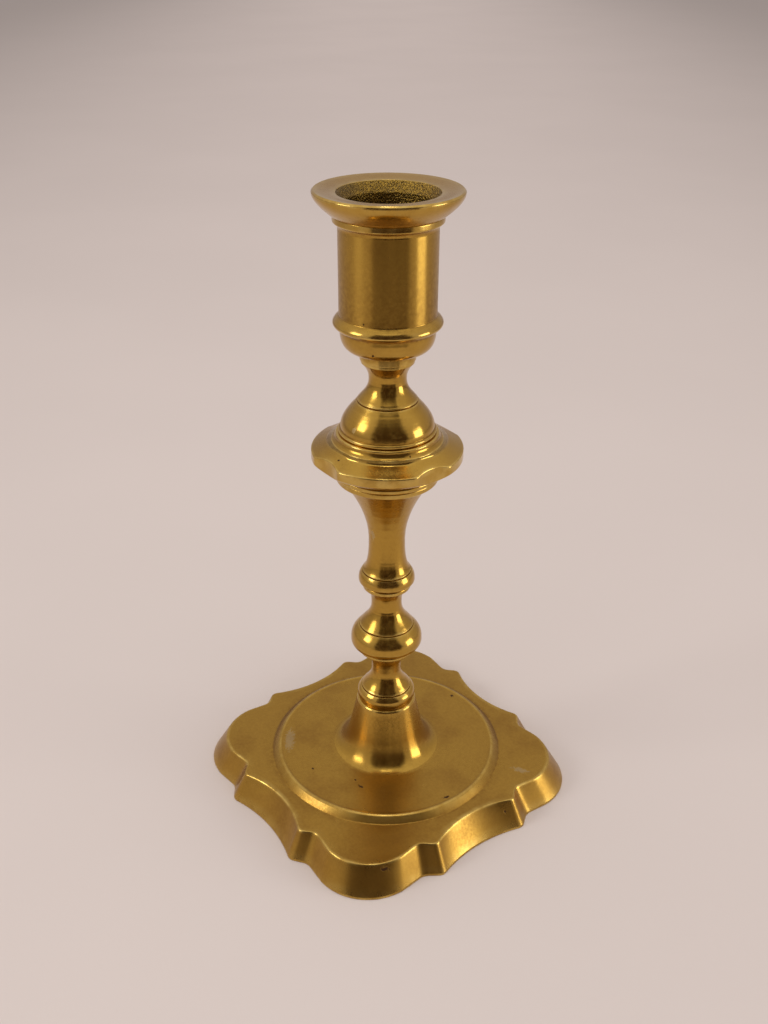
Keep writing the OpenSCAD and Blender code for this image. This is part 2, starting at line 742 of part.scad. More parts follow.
candle_cup();
upper_knop();
scalloped_collar();
baluster_stem();
base();
tie_rod();
flat_washer();
spring_washer();
hex_nut();
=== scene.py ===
# %% [markdown]
# A turned brass candle holder
#
# The real holder is five brass pieces stacked on one long rod: a lobed base, a baluster stem,
# a scalloped collar, an upper knop and a candle cup. A nut and two washers in the hollow foot
# pull them together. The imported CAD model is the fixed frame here. It has the right sizes, but
# its skins are made of flat bands, and polished metal shows every one of them. So the brass
# pieces are made again on the CAD's own outlines, with finer curves and softened edges.

# %% Load the frame
import math

import bmesh
import bpy
import numpy as np
from mathutils import Matrix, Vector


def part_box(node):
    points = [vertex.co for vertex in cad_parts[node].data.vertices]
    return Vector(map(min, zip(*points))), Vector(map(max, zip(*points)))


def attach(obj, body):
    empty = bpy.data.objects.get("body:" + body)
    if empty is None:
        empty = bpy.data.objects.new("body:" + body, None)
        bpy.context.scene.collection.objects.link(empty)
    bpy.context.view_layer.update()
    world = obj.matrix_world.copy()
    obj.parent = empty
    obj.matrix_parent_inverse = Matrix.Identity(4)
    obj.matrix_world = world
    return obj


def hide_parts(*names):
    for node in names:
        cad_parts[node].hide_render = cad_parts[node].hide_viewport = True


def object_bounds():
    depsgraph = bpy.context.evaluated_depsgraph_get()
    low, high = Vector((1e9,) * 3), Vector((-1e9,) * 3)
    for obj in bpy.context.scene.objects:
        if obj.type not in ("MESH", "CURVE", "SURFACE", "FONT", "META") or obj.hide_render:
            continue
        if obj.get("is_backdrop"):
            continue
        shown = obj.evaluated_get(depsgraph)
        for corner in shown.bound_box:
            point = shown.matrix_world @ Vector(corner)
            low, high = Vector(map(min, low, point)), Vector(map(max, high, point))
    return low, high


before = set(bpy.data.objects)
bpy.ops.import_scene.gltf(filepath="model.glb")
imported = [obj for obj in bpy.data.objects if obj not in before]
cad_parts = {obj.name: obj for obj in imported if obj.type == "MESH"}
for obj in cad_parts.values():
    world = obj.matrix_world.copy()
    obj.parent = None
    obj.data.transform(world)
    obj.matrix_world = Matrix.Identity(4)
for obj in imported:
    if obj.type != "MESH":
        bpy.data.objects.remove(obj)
cad_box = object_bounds()
MM = 0.001


def new_object(name, data):
    """Puts a mesh, a lamp or a camera into the scene."""
    thing = bpy.data.objects.new(name, data)
    bpy.context.scene.collection.objects.link(thing)
    return thing


print("CAD nodes:", ", ".join(sorted(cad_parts)))
print("CAD box in mm:", [round(side / MM, 2) for side in cad_box[1] - cad_box[0]])

# %% [markdown]
# The camera stands where the photo was taken from, a quarter of a metre up and not much further
# away. So close, it sees the base from well above and the cup's rim from a flat angle.

# %% Camera
camera_place = (0.21075, -0.16347, 0.23607)
camera_turn = 52.38
camera_tilt = 28.66
camera_roll = 0.21
camera_lens = 38.729

camera_data = bpy.data.cameras.new("camera")
camera_data.lens = camera_lens
camera_data.sensor_width = 36
camera_data.clip_start = 0.01
camera_data.clip_end = 60
camera = new_object("camera", camera_data)
camera.matrix_world = (
    Matrix.Translation(camera_place)
    @ Matrix.Rotation(math.radians(camera_turn), 4, "Z")
    @ Matrix.Rotation(math.radians(90 - camera_tilt), 4, "X")
    @ Matrix.Rotation(math.radians(camera_roll), 4, "Z")
)
bpy.context.scene.camera = camera
camera_azimuth = math.degrees(math.atan2(camera_place[1], camera_place[0]))
print("camera stands at", round(camera_azimuth, 1), "degrees round the axis")

# %% [markdown]
# A turned piece is known by its section, the line that the turning tool followed. The CAD mesh
# of such a piece is rings of points round the axis, so its section can be read back: points
# with the same radius and height are one ring, and a mesh edge between two rings says that
# they are neighbours. Reading it keeps the visible piece on the CAD piece whatever its sizes.

# %% Read a section from the CAD
fine_step = 0.01 * MM
same_ring = 0.04 * MM


def cad_points(node):
    """The points of a CAD node."""
    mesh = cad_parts[node].data
    points = np.empty(3 * len(mesh.vertices))
    mesh.vertices.foreach_get("co", points)
    return points.reshape(-1, 3)


def section_of(node, within=1.0):
    """The [radius, height] of each ring of a CAD node, in order, and whether the line closes."""
    points = cad_points(node)
    flat = np.stack([np.hypot(points[:, 0], points[:, 1]), points[:, 2]], axis=1)
    keys, ring = np.unique(np.round(flat / fine_step), axis=0, return_inverse=True)
    ring = ring.reshape(-1)
    places = keys * fine_step
    first_near = np.arange(len(places))
    for k in range(len(places)):
        gap = np.hypot(*(places[:k] - places[k]).T)
        near = np.nonzero(gap < same_ring)[0]
        if len(near):
            first_near[k] = first_near[near[0]]
    ring = first_near[ring]
    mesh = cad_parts[node].data
    ends = np.empty(2 * len(mesh.edges), dtype=int)
    mesh.edges.foreach_get("vertices", ends)
    pairs = ring[ends.reshape(-1, 2)]
    kept = (pairs[:, 0] != pairs[:, 1]) & (places[pairs, 0] < within).all(axis=1)
    joined = {}
    for one, other in pairs[kept].tolist():
        joined.setdefault(one, set()).add(other)
        joined.setdefault(other, set()).add(one)
    loose = sorted(k for k in joined if len(joined[k]) == 1)
    order = [loose[0] if loose else min(joined)]
    while True:
        onward = sorted(k for k in joined[order[-1]] if k not in order)
        if not onward:
            break
        order.append(onward[0])
    if len(order) != len(joined):
        raise ValueError(f"the section of {node} branches")
    return places[order], not loose


for node in ("candle_cup", "upper_knop", "baluster_stem"):
    print(node, "has", len(section_of(node)[0]), "rings")

# %% [markdown]
# A section goes through two steps before it is spun. First each sharp corner is rounded a
# little, because the tool's nose and years of rubbing never leave a knife edge, and because
# only a rounded edge catches a line of light. Then more points go between the CAD's own, on a
# curve through them. A long straight stretch also gets a point close to each of its ends,
# which keeps its shading flat up to the corner.

# %% Round and refine a section
sharp_turn = math.radians(18)
turn_per_point = math.radians(4)
hold_back = 0.12 * MM
corner_parts = 5
most_of_side = 0.4
no_length = 1e-9


def unit(line):
    """The same direction at length one."""
    return line / max(np.linalg.norm(line), no_length)


def turn_of(cosine):
    """The angle that has a cosine, which rounding may have taken past one."""
    return math.acos(max(-1, min(1, cosine)))


def soft_corner(start, corner, stop, parts):
    """Points, or rows of points, that round off a corner."""
    return [(1 - t) ** 2 * start + 2 * t * (1 - t) * corner + t * t * stop for t in np.linspace(0, 1, parts)]


def curve_part(p0, p1, p2, p3, shares):
    """Points between p1 and p2, on a smooth curve that comes from p0 and goes on to p3."""
    length = np.linalg.norm(p2 - p1)
    leave = unit(p2 - p0)
    arrive = unit(p3 - p1)
    return [(2 * t**3 - 3 * t**2 + 1) * p1 + (t**3 - 2 * t**2 + t) * leave * length
            + (3 * t**2 - 2 * t**3) * p2 + (t**3 - t**2) * arrive * length for t in shares]


def rounded(points, closed, size):
    """Rounds the corners that turn sharply."""
    made = []
    count = len(points)
    for k, here in enumerate(points):
        if not closed and k in (0, count - 1):
            made.append(here)
            continue
        back = points[k - 1] - here
        onward = points[(k + 1) % count] - here
        back_length = np.hypot(*back)
        onward_length = np.hypot(*onward)
        if turn_of(-back @ onward / (back_length * onward_length)) < sharp_turn:
            made.append(here)
            continue
        reach = min(size, most_of_side * back_length, most_of_side * onward_length)
        start = here + back / back_length * reach
        stop = here + onward / onward_length * reach
        made += soft_corner(start, here, stop, corner_parts)
    return np.array(made)


def refined(points, closed):
    """Puts points between the given ones, on a smooth curve through them all."""
    if closed:
        padded = np.concatenate([points[-1:], points, points[:2]])
    else:
        before = 2 * points[:1] - points[1:2]
        beyond = 2 * points[-1:] - points[-2:-1]
        padded = np.concatenate([before, points, beyond])
    made = []
    for k in range(len(padded) - 3):
        p0, p1, p2, p3 = padded[k:k + 4]
        length = np.linalg.norm(p2 - p1)
        parts = 1 + int(turn_of(unit(p2 - p0) @ unit(p3 - p1)) / turn_per_point)
        shares = list(np.arange(parts) / parts)
        if length > 4 * hold_back:
            shares += [hold_back / length, 1 - hold_back / length]
        made += curve_part(p0, p1, p2, p3, sorted(shares))
    if not closed:
        made.append(points[-1])
    return np.array(made)


section, closed = section_of("upper_knop")
finer = refined(rounded(section, closed, hold_back), closed)
print("the upper knop's section goes from", len(section), "to", len(finer), "points")

# %% [markdown]
# Wear follows the shape. Where a section stands proud it is rubbed bright, and where it turns
# inwards the polish and the tarnish stay. So each point gets three numbers, kept on the mesh
# for the materials to read: edge, groove, and satin, which is high on the plain stretches
# that the buffing wheel hardly touched.

# %% Measure where wear falls
edge_reach = 0.35 * MM
satin_reach = 1.6 * MM
full_edge = 1.1
full_bend = 0.55


def turning(section, closed, reach):
    """How far a section turns within a reach of each point, in radians, plus where it stands proud."""
    count = len(section)
    line = np.concatenate([section] * 3) if closed else section
    steps = np.diff(line, axis=0)
    lengths = np.maximum(np.hypot(steps[:, 0], steps[:, 1]), no_length)
    heading = np.unwrap(np.arctan2(steps[:, 1], steps[:, 0]))
    places = np.concatenate([[0], np.cumsum(lengths)])
    middles = (places[1:] + places[:-1]) / 2
    turn = np.interp(places + reach, middles, heading) - np.interp(places - reach, middles, heading)
    x, y = section.T
    side = np.sign(np.sum(x * np.roll(y, -1) - np.roll(x, -1) * y))
    return side * (turn[count:2 * count] if closed else turn)


def wear_of(section, closed):
    """The edge, groove and satin of each point of a section, each from 0 to 1."""
    turn = turning(section, closed, edge_reach)
    bend = np.abs(turning(section, closed, satin_reach))
    return (np.clip(turn / full_edge, 0, 1), np.clip(-turn / full_edge, 0, 1),
            1 - np.clip(bend / full_bend, 0, 1))


for kind, values in zip(("edge", "groove", "satin"), wear_of(finer, closed)):
    print("the upper knop's mean", kind, "is", round(values.mean(), 2))

# %% [markdown]
# Every brass piece is then one skin, woven from rows of points round the axis. On a turned
# piece each row is a circle. On the base and the collar the rows change from circles to the
# lobed outline, which is why the skin is woven from rows and not spun with a modifier. A row
# of a single point closes the skin on the axis.

# %% Weave rows into a skin
columns = 144


def angles_of(count):
    """Angles in equal steps round the axis."""
    return 2 * math.pi * np.arange(count) / count


def row_at(radius, height, angles):
    """A row of points round the axis. Its radius and height may differ from point to point."""
    return np.column_stack([radius * np.cos(angles), radius * np.sin(angles),
                            np.broadcast_to(height, angles.shape)])


def circle_row(radius, height, angles):
    """A round row, or the single point that closes a skin on the axis."""
    return np.array([[0, 0, height]]) if radius < fine_step else row_at(radius, height, angles)


def band_faces(start, count, next_start, next_count):
    """The faces between two rows, either of which may be a single point."""
    wide = max(count, next_count)
    faces = []
    for i in range(wide):
        j = (i + 1) % wide
        if count == 1:
            faces.append((start, next_start + i, next_start + j))
        elif next_count == 1:
            faces.append((start + i, next_start, start + j))
        else:
            faces.append((start + i, start + j, next_start + j, next_start + i))
    return faces


def weave(name, rows, finishes, closed, materials, slot, *nodes):
    """Makes one piece of the holder from its rows, and puts it in place of its CAD nodes.

    Each row has the number of the material that the band after it takes."""
    counts = [len(row) for row in rows]
    starts = np.concatenate([[0], np.cumsum(counts)]).tolist()
    faces = []
    indices = []
    last = len(rows) if closed else len(rows) - 1
    for k in range(last):
        other = (k + 1) % len(rows)
        made = band_faces(starts[k], counts[k], starts[other], counts[other])
        faces += made
        indices += [finishes[k]] * len(made)
    mesh = bpy.data.meshes.new(name)
    mesh.from_pydata(np.concatenate(rows).tolist(), [], faces)
    mesh.polygons.foreach_set("material_index", indices)
    mesh.polygons.foreach_set("use_smooth", [True] * len(faces))
    wide = max(counts)
    spread = np.array([np.broadcast_to(row, (wide, 3)) for row in rows])
    sections = np.stack([np.hypot(spread[..., 0], spread[..., 1]), spread[..., 2]], axis=-1)
    alike = np.ptp(sections, axis=1).max() < fine_step
    wear = [wear_of(sections[:, j], closed) for j in range(1 if alike else wide)]
    for index, kind in enumerate(("edge", "groove", "satin")):
        table = np.stack([one[index] for one in wear] * (wide if alike else 1), axis=1)
        values = np.concatenate([table[k, :counts[k]] for k in range(len(rows))])
        mesh.attributes.new(kind, "FLOAT", "POINT").data.foreach_set("value", values.astype(np.float32))
    skin = bmesh.new()
    skin.from_mesh(mesh)
    bmesh.ops.recalc_face_normals(skin, faces=skin.faces)
    skin.to_mesh(mesh)
    skin.free()
    for material in materials:
        mesh.materials.append(material)
    piece = new_object(name, mesh)
    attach(piece, "root")
    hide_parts(*nodes)
    print(name, "has", len(faces), "faces in", len(rows), "rows")


# %% [markdown]
# The finishes come before the pieces, because each piece takes one or two of them. They are
# built from small node groups, one for each thing that happened to the metal. Helper
# functions keep the node code short.

# %% Helpers for node groups


def feed(tree, socket, value):
    """Links a value to a socket, or writes it there if it is a number or a colour."""
    if isinstance(value, bpy.types.NodeSocket):
        tree.links.new(value, socket)
    elif isinstance(value, tuple):
        socket.default_value = (*value, 1)
    else:
        socket.default_value = value


def add(tree, kind, group=None, **inputs):
    """Adds a node and feeds its inputs by name; names may have _ in place of a space."""
    node = tree.nodes.new(kind)
    if group:
        node.node_tree = bpy.data.node_groups[group]
    for name, value in inputs.items():
        feed(tree, node.inputs[name.replace("_", " ")], value)
    return node


def calculate(tree, operation, *values, kind="ShaderNodeMath", clamp=False):
    """The result of a Math node, or of a Vector Math node, where a length has its own output."""
    node = tree.nodes.new(kind)
    node.operation = operation
    if clamp:
        node.use_clamp = True
    for socket, value in zip(node.inputs, values):
        feed(tree, socket, value)
    return node.outputs["Value" if operation == "LENGTH" else 0]


def times(tree, one, other):
    """One value multiplied by another."""
    return calculate(tree, "MULTIPLY", one, other)


def plus(tree, one, other):
    """One value added to another."""
    return calculate(tree, "ADD", one, other)


def spread_out(tree, value, low, high, to_low=0.0, to_high=1.0):
    """Stretches a range of a value to another range, softly at both ends."""
    node = add(tree, "ShaderNodeMapRange", Value=value, From_Min=low, From_Max=high, To_Min=to_low,
               To_Max=to_high)
    node.interpolation_type = "SMOOTHSTEP"
    return node.outputs["Result"]


def mixed(tree, share, one, other):
    """A colour between two colours."""
    node = tree.nodes.new("ShaderNodeMix")
    node.data_type = "RGBA"
    for index, value in ((0, share), (6, one), (7, other)):
        feed(tree, node.inputs[index], value)
    return node.outputs[2]


def new_group(name, inputs, outputs):
    """Starts a shader node group and returns its tree, its inputs and its output node."""
    tree = bpy.data.node_groups.new(name, "ShaderNodeTree")
    for label, default in inputs.items():
        socket = tree.interface.new_socket(label, in_out="INPUT", socket_type="NodeSocketFloat")
        socket.default_value = default
    for label in outputs:
        tree.interface.new_socket(label, in_out="OUTPUT", socket_type="NodeSocketFloat")
    start = tree.nodes.new("NodeGroupInput")
    end = tree.nodes.new("NodeGroupOutput")
    print("group", name)
    return tree, start.outputs, end


def place_of(tree):
    """Where a point is on the piece, in metres."""
    return tree.nodes.new("ShaderNodeTexCoord").outputs["Object"]


def noise(tree, scale, detail=2.0, roughness=0.5, place=None):
    """Cloudy values from 0 to 1. The scale is how many clouds there are in a metre."""
    if place is None:
        place = place_of(tree)
    return add(tree, "ShaderNodeTexNoise", Vector=place, Scale=scale, Detail=detail,
               Roughness=roughness).outputs[0]


# %% [markdown]
# Turning lines: the tool leaves fine rings round the axis. Noise that reads only a point's
# radius and height is the same all the way round, so it draws rings on a flat face and on an
# upright wall alike.

# %% Group: turning lines
tree, given, end = new_group("turning_lines", {"Lines per metre": 3000.0}, ["Lines"])
place = add(tree, "ShaderNodeSeparateXYZ", Vector=place_of(tree)).outputs
squares = plus(tree, times(tree, place["X"], place["X"]), times(tree, place["Y"], place["Y"]))
drift = times(tree, noise(tree, 90.0), 0.2 * MM)
radius = plus(tree, calculate(tree, "SQRT", squares), drift)
ring = add(tree, "ShaderNodeCombineXYZ", X=radius, Y=place["Z"]).outputs[0]
lines = noise(tree, given["Lines per metre"], detail=3.0, roughness=0.65, place=ring)
tree.links.new(lines, end.inputs["Lines"])

# %% [markdown]
# Tarnish: old brass goes brown where the cloth can't reach, in the grooves, and in soft
# patches elsewhere.

# %% Group: tarnish
tree, given, end = new_group("tarnish", {"Groove": 0.0, "Patches": 0.5, "Patch scale": 60.0}, ["Mask"])
broad = noise(tree, given["Patch scale"], detail=5.0, roughness=0.6)
patches = times(tree, spread_out(tree, broad, 0.42, 0.72), given["Patches"])
ragged = plus(tree, spread_out(tree, noise(tree, 900.0), 0.3, 0.7), 0.4)
grooves = times(tree, given["Groove"], ragged)
mask = calculate(tree, "MAXIMUM", patches, grooves, clamp=True)
tree.links.new(mask, end.inputs["Mask"])

# %% [markdown]
# Worn edges: the corners are rubbed bright, more in some places than in others.

# %% Group: worn edges
tree, given, end = new_group("worn_edges", {"Edge": 0.0, "Wear": 1.0}, ["Mask"])
patchy = spread_out(tree, noise(tree, 350.0, detail=3.0), 0.35, 0.65, 0.35, 1.0)
rubbed = times(tree, given["Edge"], patchy)
mask = calculate(tree, "MULTIPLY", rubbed, given["Wear"], clamp=True)
tree.links.new(mask, end.inputs["Mask"])

# %% [markdown]
# Specks: small pits from the casting and dark spots. A Voronoi texture puts one point in each
# cell. Only a few cells are let through, by the random colour that each of them has.

# %% Group: specks
tree, given, end = new_group("specks", {"Cells per metre": 250.0, "Chance": 0.08, "Size": 0.2}, ["Mask"])
cells = add(tree, "ShaderNodeTexVoronoi", Vector=place_of(tree), Scale=given["Cells per metre"])
pick = add(tree, "ShaderNodeSeparateColor", Color=cells.outputs["Color"]).outputs
chosen = calculate(tree, "LESS_THAN", pick["Red"], given["Chance"])
reach = times(tree, given["Size"], plus(tree, pick["Green"], 0.3))
distance = plus(tree, cells.outputs["Distance"], times(tree, noise(tree, 2500.0), 0.12))
inside = calculate(tree, "SUBTRACT", 1.0, calculate(tree, "DIVIDE", distance, reach), clamp=True)
tree.links.new(times(tree, spread_out(tree, inside, 0.0, 0.35), chosen), end.inputs["Mask"])

# %% [markdown]
# Mottling: old polish is never even. Cloudy patches a millimetre wide take the shine up and
# down, and broad smudges from fingers dull it further.

# %% Group: mottling
tree, given, end = new_group("mottling", {"Fine": 1.0, "Broad": 1.0}, ["Fine", "Broad"])
small = noise(tree, 1100.0, detail=3.0, roughness=0.7)
large = noise(tree, 48.0, detail=4.0)
fine = times(tree, spread_out(tree, small, 0.3, 0.7, -1.0, 1.0), given["Fine"])
broad = times(tree, spread_out(tree, large, 0.35, 0.7), given["Broad"])
tree.links.new(fine, end.inputs["Fine"])
tree.links.new(broad, end.inputs["Broad"])

# %% [markdown]
# Marks: the pits and stains that the photo shows have their own places. Each is a ragged spot
# round a point, longer one way than the other if the stain is.

# %% Group: mark
tree, given, end = new_group("mark", {"X": 0.0, "Y": 0.0, "Z": 0.0, "Turn": 0.0,
                                      "Length": 0.001, "Width": 0.001}, ["Mask"])
vectors = "ShaderNodeVectorMath"
centre = add(tree, "ShaderNodeCombineXYZ", X=given["X"], Y=given["Y"], Z=given["Z"]).outputs[0]
gap = calculate(tree, "SUBTRACT", place_of(tree), centre, kind=vectors)
turned = add(tree, "ShaderNodeVectorRotate", Vector=gap, Angle=given["Turn"])
turned.rotation_type = "Z_AXIS"
sizes = add(tree, "ShaderNodeCombineXYZ", X=given["Length"], Y=given["Width"], Z=given["Width"]).outputs[0]
scaled = calculate(tree, "DIVIDE", turned.outputs[0], sizes, kind=vectors)
reach = calculate(tree, "LENGTH", scaled, kind=vectors)
edge = plus(tree, reach, spread_out(tree, noise(tree, 1600.0, detail=3.0), 0.3, 0.7, -0.35, 0.35))
tree.links.new(spread_out(tree, edge, 1.1, 0.6), end.inputs["Mask"])

# %% [markdown]
# Grain: the rough skin of a sand casting, which only the bore and the underside still have.

# %% Group: cast grain
tree, given, end = new_group("cast_grain", {"Grains per metre": 1500.0}, ["Height", "Pits"])
coarse = noise(tree, given["Grains per metre"], detail=4.0, roughness=0.6)
cells = add(tree, "ShaderNodeTexVoronoi", Vector=place_of(tree), Scale=given["Grains per metre"])
lumps = times(tree, cells.outputs["Distance"], 0.6)
tree.links.new(calculate(tree, "SUBTRACT", coarse, lumps), end.inputs["Height"])
tree.links.new(spread_out(tree, coarse, 0.55, 0.4), end.inputs["Pits"])

# %% [markdown]
# The brass itself is one recipe with a few numbers. Polished brass is a metal with a yellow
# base colour. Its roughness tells the mirror-like knops from the satin disc, so that is mixed
# by the satin value on the mesh. The highlight is stretched across the turning lines, as on
# any turned metal: a little on the knops, and a lot on the plain walls, which show their
# surroundings as upright streaks.

# %% Colours and numbers of the brass
clean_brass = (0.48, 0.285, 0.051)
brown_brass = (0.26, 0.13, 0.025)
bright_brass = (0.68, 0.48, 0.14)
dark_spot = (0.09, 0.045, 0.02)
pale_stain = (0.5, 0.42, 0.27)
across_the_lines = 0.25
mottled_shade = 0.1
stain_cover = 0.35

# What smudges, mottling, tarnish, stains and pits add to the roughness
roughening = (0.05, 0.03, 0.14, 0.15, 0.3)

# The depth of the lines where they are faint, of mottling and of pits, in depths of a line
faint_line, mottled_depth, pit_depth = 0.35, 0.15, 25.0

# Each brass: its roughness where bright and where satin, how far highlights are stretched, its
# tarnished patches, its age, its grime in grooves, the depth of a line in metres, and whether
# it is on the low part of the base
brasses = {
    "turned_brass": (0.15, 0.22, 0.5, 0.3, 0.0, 0.55, 1.2e-6, False),
    "wall_brass": (0.28, 0.29, 0.92, 0.4, 0.0, 0.6, 1.6e-6, False),
    "disc_brass": (0.25, 0.27, 0.3, 0.3, 0.35, 0.5, 1.4e-6, True),
    "side_brass": (0.26, 0.3, 0.3, 0.3, 0.4, 0.5, 1.4e-6, True),
    "cone_brass": (0.17, 0.22, 0.85, 0.3, 0.0, 0.4, 1.6e-6, False),
}
print("brasses:", ", ".join(brasses))

# %% Places of the pits and stains
low_part = 12

# Each mark: x, y and z, how far it is turned, its length and its width, in mm and degrees
pits = [
    (5.1, -11.3, 147.9, 0, 0.3, 0.3),
    (6.5, -9.5, 140.0, 0, 0.4, 0.4),
    (13.8, -3.4, 113.5, 0, 0.3, 0.3),
    (1.8, -17.3, 111.9, 0, 0.35, 0.35),
    (-2.7, -25.6, 9.8, 0, 0.45, 0.35),
    (8.8, -18.3, 9.8, 0, 0.5, 0.35),
    (12.0, -18.8, 9.8, 20, 0.9, 0.45),
    (30.9, -1.6, 9.8, 70, 1.1, 0.5),
    (-3.9, 30.4, 9.9, 0, 0.6, 0.5),
    (39.6, -30.8, 6.9, 50, 1.6, 0.7),
    (42.4, 11.2, 5.4, 0, 0.8, 0.5),
]
stains = [
    (-17.7, -24.0, 9.9, -38, 5.0, 1.5),
    (0.5, -5.2, 85.0, 0, 0.7, 1.8),
    (1.4, -12.0, 118.6, 0, 0.7, 1.0),
    (34.3, 24.7, 8.3, 30, 2.6, 1.0),
]
print(len(pits), "pits and", len(stains), "stains")

# %% Helpers for materials


def placed(tree, group, **inputs):
    """Puts a group into a material and returns its outputs."""
    return add(tree, "ShaderNodeGroup", group, **inputs).outputs


def kept_on_mesh(tree, name):
    """A number that the mesh holds at each point."""
    node = tree.nodes.new("ShaderNodeAttribute")
    node.attribute_name = name
    return node.outputs["Fac"]


def new_material(name):
    """An empty material, its tree and its shader, which is already linked to the output."""
    material = bpy.data.materials.new(name)
    material.use_nodes = True
    tree = material.node_tree
    tree.nodes.clear()
    shader = tree.nodes.new("ShaderNodeBsdfPrincipled")
    end = tree.nodes.new("ShaderNodeOutputMaterial")
    tree.links.new(shader.outputs[0], end.inputs["Surface"])
    return material, tree, shader


def dress(tree, shader, colour, rough, metallic, height, depth):
    """Feeds a shader its colour, roughness and metalness, and a relief of a given depth."""
    bump = add(tree, "ShaderNodeBump", Height=height, Strength=1.0, Distance=depth)
    for name, value in (("Base Color", colour), ("Roughness", rough), ("Metallic", metallic),
                        ("Normal", bump.outputs[0])):
        feed(tree, shader.inputs[name], value)


def all_marks(tree, places, low):
    """One mask for the marks on the low part of the base, or for those above it."""
    mask = 0.0
    for x, y, z, turn, length, width in places:
        if (z < low_part) == low:
            one = placed(tree, "mark", X=x * MM, Y=y * MM, Z=z * MM, Turn=-math.radians(turn),
                         Length=length * MM, Width=width * MM)["Mask"]
            mask = calculate(tree, "MAXIMUM", mask, one)
    return mask


# %% Material: turned brass


def make_brass(name, mirror, satin, stretch, patches, age, grime, line_depth, low):
    """Brass that was turned and buffed."""
    material, tree, shader = new_material(name)
    edge, groove, plain = (kept_on_mesh(tree, kind) for kind in ("edge", "groove", "satin"))
    groove = times(tree, groove, grime)
    dull = placed(tree, "tarnish", Groove=groove, Patches=patches, Patch_scale=85.0)["Mask"]
    rubbed = placed(tree, "worn_edges", Edge=edge, Wear=0.9)["Mask"]
    cloudy = placed(tree, "mottling", Fine=1.0, Broad=1.0)
    specked = placed(tree, "specks", Cells_per_metre=300.0, Chance=0.05, Size=0.13)["Mask"]
    dark = calculate(tree, "MAXIMUM", specked, all_marks(tree, pits, low))
    pale = all_marks(tree, stains, low)
    lines = placed(tree, "turning_lines", Lines_per_metre=2600.0)["Lines"]
    worn = plus(tree, dull, times(tree, cloudy["Fine"], mottled_shade))
    worn = calculate(tree, "ADD", worn, age, clamp=True)
    colour = mixed(tree, worn, clean_brass, brown_brass)
    colour = mixed(tree, rubbed, colour, bright_brass)
    colour = mixed(tree, times(tree, pale, stain_cover), colour, pale_stain)
    colour = mixed(tree, dark, colour, dark_spot)
    rough = spread_out(tree, plain, 0.0, 1.0, mirror, satin)
    for share, mask in zip(roughening, (cloudy["Broad"], cloudy["Fine"], dull, pale, dark)):
        rough = calculate(tree, "ADD", rough, times(tree, mask, share), clamp=True)
    relief = times(tree, lines, plus(tree, plain, faint_line))
    relief = plus(tree, relief, times(tree, cloudy["Fine"], mottled_depth))
    relief = calculate(tree, "SUBTRACT", relief, times(tree, dark, pit_depth))
    shader.inputs["Anisotropic"].default_value = stretch
    shader.inputs["Anisotropic Rotation"].default_value = across_the_lines
    dress(tree, shader, colour, rough, 1.0, relief, line_depth)
    return material


turned_brass, wall_brass, disc_brass, side_brass, cone_brass = (
    make_brass(name, *values) for name, values in brasses.items())
print("materials", ", ".join(brasses))

# %% [markdown]
# The bore of the cup and the underside of the base were never buffed. They are still the
# skin of the casting: grainy, dull and darker in the pits.

# %% Material: rough casting
pit_shade = 0.75
casting_shine, casting_dullness = 0.24, 0.45


def make_casting(name, light, dark, grains, depth):
    """Brass as it comes out of the sand."""
    material, tree, shader = new_material(name)
    grain = placed(tree, "cast_grain", Grains_per_metre=grains)
    groove = kept_on_mesh(tree, "groove")
    dull = placed(tree, "tarnish", Groove=groove, Patches=0.8, Patch_scale=110.0)["Mask"]
    shade = calculate(tree, "MAXIMUM", dull, times(tree, grain["Pits"], pit_shade))
    rough = spread_out(tree, grain["Height"], 0.2, 0.7, casting_shine, casting_dullness)
    dress(tree, shader, mixed(tree, shade, light, dark), rough, 0.9, grain["Height"], depth)
    return material


bore_casting = make_casting("bore_casting", (0.35, 0.212, 0.034), (0.09, 0.06, 0.026), 2100.0, 0.00029)
foot_casting = make_casting("foot_casting", (0.3, 0.19, 0.06), (0.09, 0.055, 0.022), 1100.0, 0.0002)
print("materials", bore_casting.name, foot_casting.name)

# %% [markdown]
# The rod, nut and washers are bought parts with a dull zinc plate, greyer where the spanner
# and the threads have rubbed it.

# %% Material: zinc plate
pale_zinc = (0.6, 0.6, 0.57)
grey_zinc = (0.44, 0.45, 0.45)
zinc_stain = (0.2, 0.17, 0.13)
zinc_shine, zinc_dullness = 0.32, 0.5

zinc_plate, tree, shader = new_material("zinc_plate")
cloud = spread_out(tree, noise(tree, 700.0, detail=5.0), 0.35, 0.68)
stained = placed(tree, "specks", Cells_per_metre=900.0, Chance=0.2, Size=0.3)["Mask"]
colour = mixed(tree, stained, mixed(tree, cloud, pale_zinc, grey_zinc), zinc_stain)
rough = spread_out(tree, cloud, 0.0, 1.0, zinc_shine, zinc_dullness)
dress(tree, shader, colour, rough, 1.0, noise(tree, 6000.0), 0.004 * MM)
print("material", zinc_plate.name)

# %% [markdown]
# Three pieces are round all over, so they are simply their sections, spun. Each band of a
# skin takes the finish of its place: the cup's bore is rough, and its plain wall is streaky.

# %% Cup, upper knop and stem
polished, streaky, grainy = 0, 1, 2
cup_edge = 0.16 * MM
turned_edge = 0.14 * MM
bore_radius = 11.5 * MM
mouth_radius = 12.85 * MM
mouth_foot = 174 * MM
mouth_top = 177.25 * MM
bore_floor = 149.5 * MM
wall_low = 147.4 * MM
wall_high = 168.5 * MM


